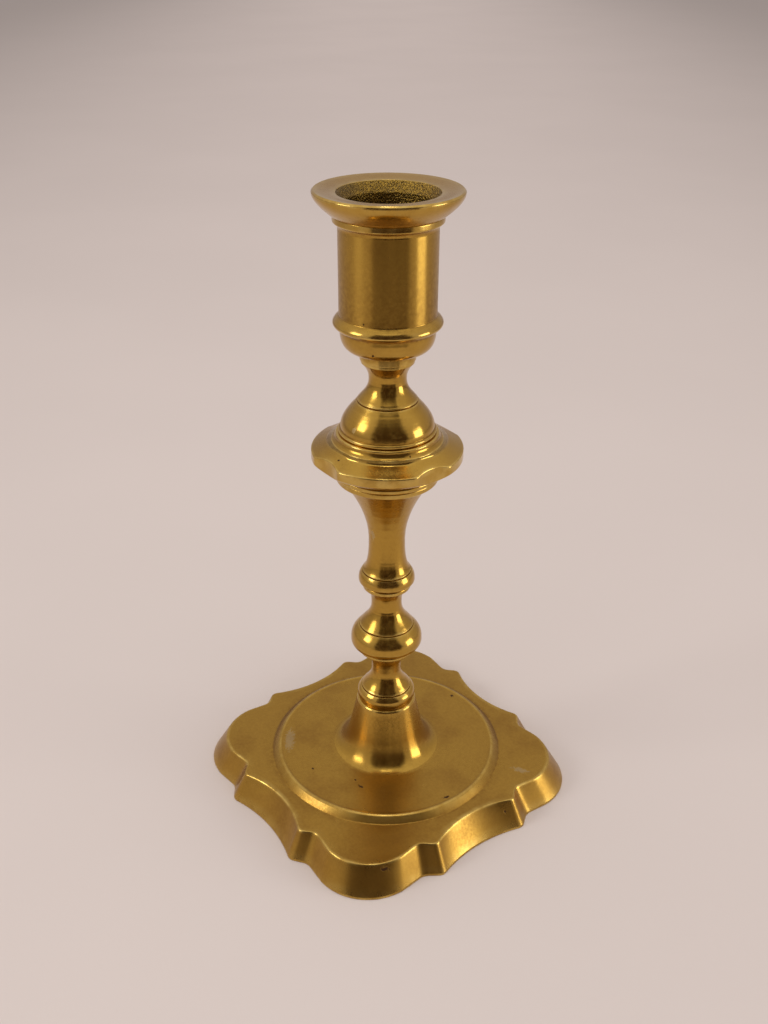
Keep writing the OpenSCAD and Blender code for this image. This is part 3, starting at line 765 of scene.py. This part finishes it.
def spun(name, size, materials, finish_of, node):
    """A piece that is round all over, from the section of its CAD node."""
    section, closed = section_of(node)
    if not closed:
        ends = [[0, section[0, 1]]], [[0, section[-1, 1]]]
        section = np.concatenate([ends[0], section, ends[1]])
    section = refined(rounded(section, closed, size), closed)
    rows = [circle_row(radius, height, angles_of(columns)) for radius, height in section]
    finishes = [finish_of(radius, height) for radius, height in section]
    weave(name, rows, finishes, closed, materials, "turned_brass", node)


def cup_finish(radius, height):
    """The bore is grainy and the wall is streaky."""
    reach = mouth_radius if height > mouth_foot else bore_radius
    if radius < reach and bore_floor < height < mouth_top:
        return grainy
    return streaky if wall_low < height < wall_high else polished


def same_finish(radius, height):
    """The whole skin is polished."""
    return polished


spun("cup", cup_edge, [turned_brass, wall_brass, bore_casting], cup_finish, "candle_cup")
spun("knop", turned_edge, [turned_brass], same_finish, "upper_knop")
spun("stem", turned_edge, [turned_brass], same_finish, "baluster_stem")

# %% [markdown]
# The base is a square plate with a lobe at each corner and a hollow on each side. Its outline
# is read from the CAD at each height where the wall changes, and the rows between are mixed
# from those. Long stretches of the outline get more points. The middle of the plate is
# turned, so there the rows are circles, from the disc's foot over the cone, down the hole for
# the rod and back along the ceiling of the hollow underside.

# %% Read the base's outline
border_top = 8.3 * MM
bevel_foot = 8.0 * MM
land_top = 0.6 * MM
ceiling = 5.4 * MM
inside_disc = 35.5 * MM
outline_gap = 0.75 * MM
wall_reach = 31 * MM
upright = 0.3


def base_walls():
    """The points of the base's outer wall and of its inner wall."""
    points = cad_points("base")
    outer, inner = set(), set()
    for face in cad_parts["base"].data.polygons:
        reach = math.hypot(face.center.x, face.center.y)
        if reach < wall_reach:
            continue
        facing = (face.normal.x * face.center.x + face.normal.y * face.center.y) / reach
        if facing > upright:
            outer.update(face.vertices)
        if facing < -upright:
            inner.update(face.vertices)
    return points[sorted(outer)], points[sorted(inner)]


def outline_at(points, height):
    """The outline at one height, in order round the axis from the middle of the +X side."""
    level = points[(np.abs(points[:, 2] - height) < fine_step) & (np.hypot(*points[:, :2].T) > inside_disc)]
    keys = np.unique(np.round(level[:, :2] / fine_step), axis=0) * fine_step
    kept = []
    for point in keys:
        if all(np.hypot(*(point - other)) > same_ring for other in kept):
            kept.append(point)
    kept = np.array(kept)
    angle = np.round(np.arctan2(kept[:, 1], kept[:, 0]), 6) % (2 * math.pi)
    return kept[np.argsort(angle)]


outer_wall, inner_wall = base_walls()
outlines = {
    "rim top": outline_at(outer_wall, border_top),
    "wall top": outline_at(outer_wall, bevel_foot),
    "wall foot": outline_at(outer_wall, land_top),
    "land": outline_at(outer_wall, 0),
    "inner foot": outline_at(inner_wall, 0),
    "inner top": outline_at(inner_wall, ceiling),
}
print("outline points:", {name: len(points) for name, points in outlines.items()})

# %% Refine the outlines alike
corner_count = len(outlines["wall top"])
span_lengths = np.linalg.norm(np.roll(outlines["wall top"], -1, axis=0) - outlines["wall top"], axis=1)
span_parts = np.maximum(2, np.ceil(span_lengths / outline_gap)).astype(int)


def fuller(points):
    """The same outline with more points on a smooth curve, as many in each span on every outline."""
    made = []
    for k in range(corner_count):
        around = [points[(k + step) % corner_count] for step in (-1, 0, 1, 2)]
        made += curve_part(*around, np.arange(span_parts[k]) / span_parts[k])
    return np.array(made)


full = {name: fuller(points) for name, points in outlines.items()}
base_angles = np.arctan2(full["wall top"][:, 1], full["wall top"][:, 0])
print("the base has", len(base_angles), "columns")

# %% Weave the base
base_edge = 0.3 * MM
well_radius = 6.4 * MM
spigot_top = 29.5 * MM
under_disc = 7 * MM
cone_foot = 9.85 * MM
cone_reach = 16.4 * MM
rim_parts, land_parts, ceiling_parts = 7, 4, 5
disc, casting, cone, side = range(4)


def turned_part(node, within, size):
    """The turned part of a section that isn't round all over, from its upper end."""
    section = section_of(node, within)[0]
    if section[0, 1] < section[-1, 1]:
        section = section[::-1]
    return refined(rounded(section, False, size), False)


def at_height(outline, height):
    """One of the base's outlines as a row of points."""
    return np.column_stack([full[outline], np.full(len(base_angles), height)])


def toward(one, other, share):
    """A row part of the way from one row to another."""
    return one + (other - one) * share


def between(one, other, *shares):
    """Rows at several shares of the way. Those close to an end keep the shading flat up to it."""
    return [toward(one, other, share) for share in shares]


def base_finish(radius, height):
    """The finish of the turned part of the base."""
    if radius < well_radius and height < spigot_top or radius < inside_disc and height < under_disc:
        return casting
    return cone if radius < cone_reach and height > cone_foot else disc


turned = turned_part("base", inside_disc, base_edge)[::-1]
middle = [circle_row(radius, height, base_angles) for radius, height in turned]
under_end, upper_end = middle[0], middle[-1]
wall_top = at_height("wall top", bevel_foot)
wall_foot = at_height("wall foot", land_top)
slope = (wall_top - wall_foot) / (bevel_foot - land_top)
corner = wall_top + slope * (border_top - bevel_foot)
edge_start = toward(at_height("rim top", border_top), upper_end, 0.02)
edge_stop = toward(wall_top, wall_foot, 0.03)
land = at_height("land", 0)
land_start = toward(wall_foot, land, 0.5)
inner_foot = at_height("inner foot", 0)
inner_top = at_height("inner top", ceiling)
outside = between(upper_end, edge_start, 0.04, 0.35, 0.7, 0.96)
outside += soft_corner(edge_start, corner, edge_stop, rim_parts)
outside += between(edge_stop, wall_foot, 0.03, 0.3, 0.65, 0.97)
outside += soft_corner(toward(wall_foot, wall_top, 0.02), wall_foot, land_start, land_parts)
outside += soft_corner(toward(land, land_start, 0.3), land, toward(land, inner_foot, 0.06), land_parts)
outside += between(land, inner_foot, 0.12, 0.9)
inside = soft_corner(toward(land, inner_foot, 0.94), inner_foot,
                     toward(inner_foot, inner_top, 0.06), land_parts)
inside += between(inner_foot, inner_top, 0.1, 0.5, 0.9)
inside += soft_corner(toward(inner_foot, inner_top, 0.92), inner_top,
                      toward(inner_top, under_end, 0.05), ceiling_parts)
inside += between(inner_top, under_end, 0.1, 0.5, 0.95)
finishes = [base_finish(radius, height) for radius, height in turned]
rows = middle + outside + inside
finishes += [side] * len(outside) + [casting] * len(inside)
weave("base_casting", rows, finishes, True, [disc_brass, foot_casting, cone_brass, side_brass],
      "cast_brass", "base")

# %% [markdown]
# The collar was turned like the others, and then four scallops were filed into its edge. So
# its section is round up to the bowl, and from there the rows end on an outline of four flat
# lobes with a hollow between each two. Where the outline cuts the bowl and the sloping top,
# the rows take their heights from the turned curves at the outline's own radius.

# %% The collar's outline
collar_foot = 101.2 * MM
collar_turn = -1
lobe_radius = 20.35 * MM
lobe_curve = 22 * MM
lobe_angle = 30
scallop_depth = 1.0 * MM
rub_spread = 1.6
lobe_centre = lobe_radius - lobe_curve


def lobe_reach(angle):
    """How far out a lobe's edge is, at an angle from the lobe's middle."""
    across = lobe_centre * math.sin(angle)
    return lobe_centre * math.cos(angle) + math.sqrt(lobe_curve**2 - across**2)


corner_reach = lobe_reach(math.radians(lobe_angle))
half_gap = corner_reach * math.sin(math.radians(45 - lobe_angle))
scallop_radius = (half_gap**2 + scallop_depth**2) / (2 * scallop_depth)
scallop_centre = corner_reach * math.cos(math.radians(45 - lobe_angle)) - scallop_depth + scallop_radius


def collar_reach(degrees):
    """How far out the collar's edge is at an angle round the axis."""
    from_lobe = (degrees + 45) % 90 - 45
    if abs(from_lobe) <= lobe_angle:
        return lobe_reach(math.radians(from_lobe))
    angle = math.radians(degrees % 90 - 45)
    across = scallop_centre * math.sin(angle)
    return scallop_centre * math.cos(angle) - math.sqrt(scallop_radius**2 - across**2)


lobe_steps = np.arange(0, 360, 0.75)
steps_nearby = np.arange(-2, 2.01, 0.5)


def filed_reach(degrees):
    """The collar's edge with its corners rubbed round, as the mean of the edge close by."""
    shares = np.exp(-0.5 * steps_nearby**2)
    nearby = [collar_reach(degrees + step * rub_spread) for step in steps_nearby]
    return np.sum(shares * nearby) / shares.sum()


edge_reach_at = np.array([filed_reach(step) for step in lobe_steps])
collar_angles = np.radians(lobe_steps + 45 + collar_turn)
print("collar edge from", round(edge_reach_at.min() / MM, 2), "to", round(edge_reach_at.max() / MM, 2), "mm")

# %% Weave the collar
bowl_start = (14.9 * MM, collar_foot + 3.75 * MM)
bowl_stop = (lobe_radius + scallop_depth, collar_foot + 8.4 * MM)
edge_top = collar_foot + 9.25 * MM
slope_top = (14.8 * MM, collar_foot + 11.9 * MM)
turned_reach = 15.2 * MM
collar_edge = 0.22 * MM
most_of_edge = 0.35
edge_parts = 6
bowl_parts = 24
bowl_rows = 14


def bowl_curve():
    """The bowl's section from its foot to the collar's widest line."""
    end, belly = np.array(bowl_start), np.array(bowl_stop)
    first = np.array([belly[0], belly[1] + (end[1] - belly[1]) / 3])
    second = np.array([(belly[0] + end[0]) / 2, belly[1] + (end[1] - belly[1]) * 2 / 3])
    return np.array([(1 - t) ** 3 * end + 3 * (1 - t) ** 2 * t * second + 3 * (1 - t) * t * t * first
                     + t**3 * belly for t in np.linspace(0, 1, bowl_parts)])


def bowl_row(reach):
    """A row on the bowl, from how far out each of its points is."""
    return row_at(reach, np.interp(reach, *bowl_curve().T), collar_angles)


def top_row(reach):
    """A row on the sloping top, from how far out each of its points is."""
    fall = (slope_top[1] - edge_top) / (lobe_radius - slope_top[0])
    return row_at(reach, edge_top + np.maximum(0, lobe_radius - reach) * fall, collar_angles)


def heading(row, other):
    """The direction from each point of a row to the same point of another."""
    return (other - row) / np.linalg.norm(other - row, axis=1)[:, None]


turned = turned_part("scalloped_collar", turned_reach, turned_edge)
rows = [circle_row(radius, height, collar_angles) for radius, height in turned]
low = bowl_row(edge_reach_at)
high = top_row(edge_reach_at)
shares = np.linspace(0, 1, bowl_rows)[1:-1]
under = [bowl_row(toward(bowl_start[0], edge_reach_at, share)) for share in shares]
rounding = np.minimum(collar_edge, np.linalg.norm(high - low, axis=1)[:, None] * most_of_edge)
up = heading(low, high) * rounding
inward = heading(low, under[-1]) * rounding
back = heading(high, row_at(*slope_top, collar_angles)) * rounding
rows += under
rows += soft_corner(low + inward, low, low + up, edge_parts)
rows += soft_corner(high - up, high, high + back, edge_parts)
start_reach = toward(edge_reach_at, slope_top[0], 0.1)
rows += [top_row(toward(start_reach, slope_top[0], share)) for share in (0.0, 0.3, 0.65, 0.94)]
weave("collar", rows, [polished] * len(rows), True, [turned_brass], "turned_brass", "scalloped_collar")

# %% [markdown]
# The rod is threaded at its lower end. Its skin is a grid whose radius goes in and out along
# a screw line: the depth at a point depends on its height less its share of one turn.

# %% Tie rod
thread_pitch = 0.8 * MM
thread_depth = 0.43 * MM
thread_end = 24 * MM
rod_columns = 48
rod_bevel = 0.6 * MM
rows_per_turn = 10
flank = 2.3

low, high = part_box("tie_rod")
radius = high.x
heights = np.concatenate([np.arange(low.z, thread_end, thread_pitch / rows_per_turn),
                          np.linspace(thread_end, high.z - rod_bevel, 8), [high.z]])
rows = [np.array([[0, 0, low.z]])]
for height in heights:
    phase = (height / thread_pitch - np.arange(rod_columns) / rod_columns) % 1
    depth = thread_depth * np.clip(flank * (0.5 - np.abs(phase - 0.5)), 0, 1)
    fade = np.clip((thread_end - height) / thread_pitch, 0, 1)
    end_room = np.clip(min(height - low.z, high.z - height) / rod_bevel, 0, 1)
    reach = np.minimum(radius - depth * fade, radius - rod_bevel * (1 - end_room))
    rows.append(row_at(reach, height, angles_of(rod_columns)))
rows.append(np.array([[0, 0, high.z]]))
weave("rod", rows, [0] * len(rows), False, [zinc_plate], "plated_steel", "tie_rod")

# %% [markdown]
# The nut and the washers keep their CAD shapes, which are right. A bevel takes the knife
# edges off them.

# %% Nut and washers
nut_bevel = 0.08 * MM
for node in ("hex_nut", "flat_washer", "spring_washer"):
    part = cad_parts[node]
    part.data.materials.clear()
    part.data.materials.append(zinc_plate)
    bevel = part.modifiers.new("bevel", "BEVEL")
    bevel.width = nut_bevel
    bevel.segments = 2
    bevel.limit_method = "ANGLE"
    print(node, "has", len(part.data.vertices), "points")

# %% [markdown]
# The holder stands on a wide sheet of pale paper. Seen from below, the sheet is left out, so
# that the underside can be looked at. The sheet has an opening that the base covers, through
# which light reaches the hollow underside.

# %% Floor
floor_radius = 9.0
opening_radius = 41.5 * MM
floor_drop = 0.05 * MM
paper = (0.725, 0.645, 0.612)
# The first share is the paper's random cloudiness. The rest set a painted shade: how dark the paper is
# painted towards the sides, and over which sideways distance it darkens.
cloudy_paper, painted_shade_share = 0.975, 0.58
painted_shade_from, painted_shade_to = 0.03, 1.1
sides_of_floor = 96


def along(tree, vector, azimuth):
    """How far a vector goes in the direction of an azimuth in degrees."""
    parts = add(tree, "ShaderNodeSeparateXYZ", Vector=vector).outputs
    turn = math.radians(azimuth)
    return plus(tree, times(tree, parts["X"], math.cos(turn)), times(tree, parts["Y"], math.sin(turn)))


def paper_at(share):
    """The paper's colour at a share of its brightness."""
    return tuple(share * part for part in paper)


material, tree, shader = new_material("pale_paper")
shade = spread_out(tree, noise(tree, 5.0, detail=3.0), 0.3, 0.7)
aside = calculate(tree, "ABSOLUTE", along(tree, place_of(tree), camera_azimuth + 90))
colour = mixed(tree, shade, paper_at(cloudy_paper), paper)
# Painted shade: the paper is painted darker sideways from the camera's line, as if less light fell there.
colour = mixed(tree, spread_out(tree, aside, painted_shade_from, painted_shade_to), colour, paper_at(painted_shade_share))
shader.inputs["Specular IOR Level"].default_value = 0.2
dress(tree, shader, colour, 0.9, 0.0, noise(tree, 1800.0), 0.02 * MM)
clear = tree.nodes.new("ShaderNodeBsdfTransparent")
both = tree.nodes.new("ShaderNodeMixShader")
below = tree.nodes.new("ShaderNodeNewGeometry").outputs["Backfacing"]
end = next(node for node in tree.nodes if node.type == "OUTPUT_MATERIAL")
for value, socket in ((below, both.inputs[0]), (shader.outputs[0], both.inputs[1]),
                      (clear.outputs[0], both.inputs[2]), (both.outputs[0], end.inputs["Surface"])):
    tree.links.new(value, socket)
mesh = bpy.data.meshes.new("floor")
count = sides_of_floor
rings = [circle_row(radius, -floor_drop, angles_of(count)) for radius in (floor_radius, opening_radius)]
faces = [(k, (k + 1) % count, count + (k + 1) % count, count + k) for k in range(count)]
mesh.from_pydata(np.concatenate(rings).tolist(), [], faces)
mesh.materials.append(material)
floor = new_object("floor", mesh)
floor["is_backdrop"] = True
print("floor reaches", floor_radius, "m")

# %% [markdown]
# Polished metal shows the room, so the room is part of its look. The walls and the ceiling
# are pale, two soft lamps stand at the sides and a small one hangs overhead. A dark screen
# close behind the camera gives the knops their dark middles.

# %% World
room_levels = [
    (0.0, (0.55, 0.49, 0.465)),
    (0.3, (0.57, 0.51, 0.485)),
    (0.45, (0.64, 0.58, 0.555)),
    (0.8, (0.82, 0.77, 0.75)),
    (1.0, (0.90, 0.86, 0.84)),
]
dims_behind = (0.3, 0.9)
dimmest = 0.88

world = bpy.data.worlds.new("room")
world.use_nodes = True
tree = world.node_tree
tree.nodes.clear()
direction = tree.nodes.new("ShaderNodeTexCoord").outputs["Generated"]
ramp = tree.nodes.new("ShaderNodeValToRGB")
ramp.color_ramp.interpolation = "EASE"
points = ramp.color_ramp.elements
while len(points) < len(room_levels):
    points.new(0.5)
for point, (height, colour) in zip(points, room_levels):
    point.position = height
    point.color = (*colour, 1)
up = add(tree, "ShaderNodeSeparateXYZ", Vector=direction).outputs["Z"]
tree.links.new(up, ramp.inputs[0])
behind = along(tree, direction, camera_azimuth + 180)
strength = spread_out(tree, behind, *dims_behind, 1.0, dimmest)
glow = add(tree, "ShaderNodeBackground", Color=ramp.outputs[0], Strength=strength)
end = tree.nodes.new("ShaderNodeOutputWorld")
tree.links.new(glow.outputs[0], end.inputs["Surface"])
bpy.context.scene.world = world
print("the room has", len(room_levels), "levels")

# %% Lamps and the dark screen
aim = (0, 0, 0.09)
lamp_distance = 1.0
lamp_colour = (1, 1, 0.96)


def away(azimuth, elevation, distance):
    """A place seen from the holder at an azimuth from the camera's and an elevation, in degrees."""
    turn = math.radians(camera_azimuth + azimuth)
    rise = math.radians(elevation)
    return (aim[0] + distance * math.cos(turn) * math.cos(rise),
            aim[1] + distance * math.sin(turn) * math.cos(rise),
            aim[2] + distance * math.sin(rise))


def add_lamp(name, azimuth, elevation, width, height, radiance):
    """A soft lamp that faces the holder. Its brightness is given as it would look in a mirror."""
    data = bpy.data.lights.new(name, "AREA")
    data.shape = "RECTANGLE"
    data.size = width
    data.size_y = height
    data.color = lamp_colour
    data.energy = radiance * math.pi * width * height
    lamp = new_object(name, data)
    place = Matrix.Translation(away(azimuth, elevation, lamp_distance))
    turn = Matrix.Rotation(math.radians(camera_azimuth + azimuth + 90), 4, "Z")
    tilt = Matrix.Rotation(math.radians(90 - elevation), 4, "X")
    lamp.matrix_world = place @ turn @ tilt
    lamp.visible_camera = False


add_lamp("left_lamp", -73, 31, 0.34, 0.34, 5.4)
add_lamp("right_lamp", 79, 8, 0.4, 0.48, 4.8)
add_lamp("top_lamp", 0, 86, 0.2, 0.2, 4.5)

screen_distance = 0.34
screen_from, screen_to = -42, 53
screen_top = 0.68
screen_softness = 10
screen_posts = 32
light_cloth = (0.06, 0.036, 0.03)
worn_cloth = (0.09, 0.055, 0.046)

# The dark end of the room is a curved screen behind the camera, which the camera doesn't see
azimuths = np.linspace(screen_from, screen_to, screen_posts)
ring = [away(azimuth, 0, screen_distance) for azimuth in azimuths]
points = [(x, y, 0) for x, y, z in ring] + [(x, y, screen_top) for x, y, z in ring]
faces = [(k, k + 1, screen_posts + k + 1, screen_posts + k) for k in range(screen_posts - 1)]
mesh = bpy.data.meshes.new("dark_screen")
mesh.from_pydata(points, [], faces)
inside = np.minimum(azimuths - screen_from, screen_to - azimuths) / screen_softness
cover = np.tile(np.clip(inside, 0, 1), 2).astype(np.float32)
mesh.attributes.new("cover", "FLOAT", "POINT").data.foreach_set("value", cover)
material, tree, shader = new_material("dark_cloth")
folds = spread_out(tree, noise(tree, 14.0), 0.3, 0.7, -0.35, 0.35)
ragged = plus(tree, kept_on_mesh(tree, "cover"), folds)
for name, value in (("Base Color", mixed(tree, noise(tree, 300.0), light_cloth, worn_cloth)),
                    ("Roughness", 1.0), ("Alpha", spread_out(tree, ragged, 0.0, 1.0))):
    feed(tree, shader.inputs[name], value)
mesh.materials.append(material)
screen = new_object("dark_screen", mesh)
screen.visible_camera = False
screen.visible_diffuse = False
screen.visible_shadow = False
screen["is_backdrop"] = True
print("three lamps and a dark screen from", screen_from, "to", screen_to, "degrees")

# %% [markdown]
# Last come the view settings, and the CAD's box and the visible box, printed side by side.
# The visible box has to stay the CAD's own box.

# %% Finish
bpy.context.scene.view_settings.view_transform = "Standard"
visual_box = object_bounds()
for name, box in (("CAD", cad_box), ("visual", visual_box)):
    print(name, "box in mm:", [round(value / MM, 2) for corner in box for value in corner])
